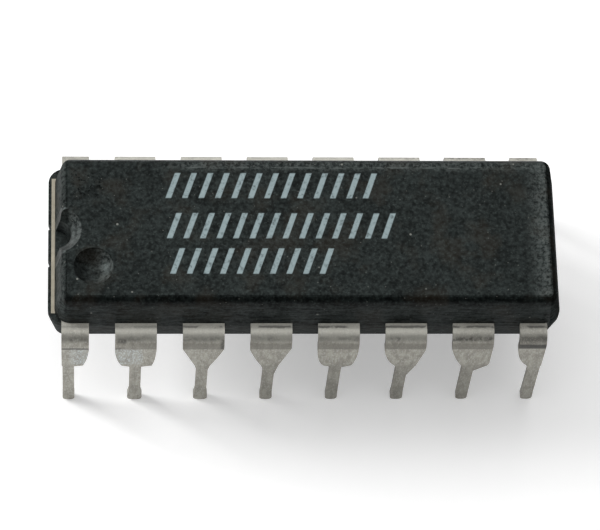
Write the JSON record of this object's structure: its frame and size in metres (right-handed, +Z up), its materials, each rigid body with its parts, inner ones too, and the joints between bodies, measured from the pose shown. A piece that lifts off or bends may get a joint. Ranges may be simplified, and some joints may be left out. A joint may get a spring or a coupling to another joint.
{
  "type": "dual in-line integrated circuit package",
  "caption": "Dual in-line chip package: black moulded epoxy body with an end notch and lead-one dimple, and two rows of bent, tinned through-hole leads.",
  "frame": {"origin": "on the surface that the lead tips stand on, under the middle of the body", "axes": "+X along the body away from the notched end, +Y across it towards leads 9 to 16, +Z up out of the top face"},
  "size_m": [0.0193, 0.0082, 0.0069],
  "materials": {
    "moulded_epoxy": "moulded epoxy with a fine spark-eroded texture, rubbed grey at the edges",
    "tinned_lead": "dull tin-lead solder plate over the stamped frame, tarnished at the bends",
    "lead_frame_metal": "stamped frame alloy, cut bare at the end",
    "silver_epoxy": "cured silver-filled adhesive",
    "silicon": "polished silicon with a passivated top",
    "gold_wire": "drawn gold wire"
  },
  "bodies": {
    "root": {"moulded_body": "moulded_epoxy", "die_pad": "lead_frame_metal", "die_attach": "silver_epoxy", "die": "silicon", "lead_01": "tinned_lead", "lead_02": "tinned_lead", "lead_03": "tinned_lead", "lead_04": "tinned_lead", "lead_05": "tinned_lead", "lead_06": "tinned_lead", "lead_07": "tinned_lead", "lead_08": "tinned_lead", "lead_09": "tinned_lead", "lead_10": "tinned_lead", "lead_11": "tinned_lead", "lead_12": "tinned_lead", "lead_13": "tinned_lead", "lead_14": "tinned_lead", "lead_15": "tinned_lead", "lead_16": "tinned_lead", "bond_wire_01": "gold_wire", "bond_wire_02": "gold_wire", "bond_wire_03": "gold_wire", "bond_wire_04": "gold_wire", "bond_wire_05": "gold_wire", "bond_wire_06": "gold_wire", "bond_wire_07": "gold_wire", "bond_wire_08": "gold_wire", "bond_wire_09": "gold_wire", "bond_wire_10": "gold_wire", "bond_wire_11": "gold_wire", "bond_wire_12": "gold_wire", "bond_wire_13": "gold_wire", "bond_wire_14": "gold_wire", "bond_wire_15": "gold_wire", "bond_wire_16": "gold_wire"}
  },
  "joints": []
}
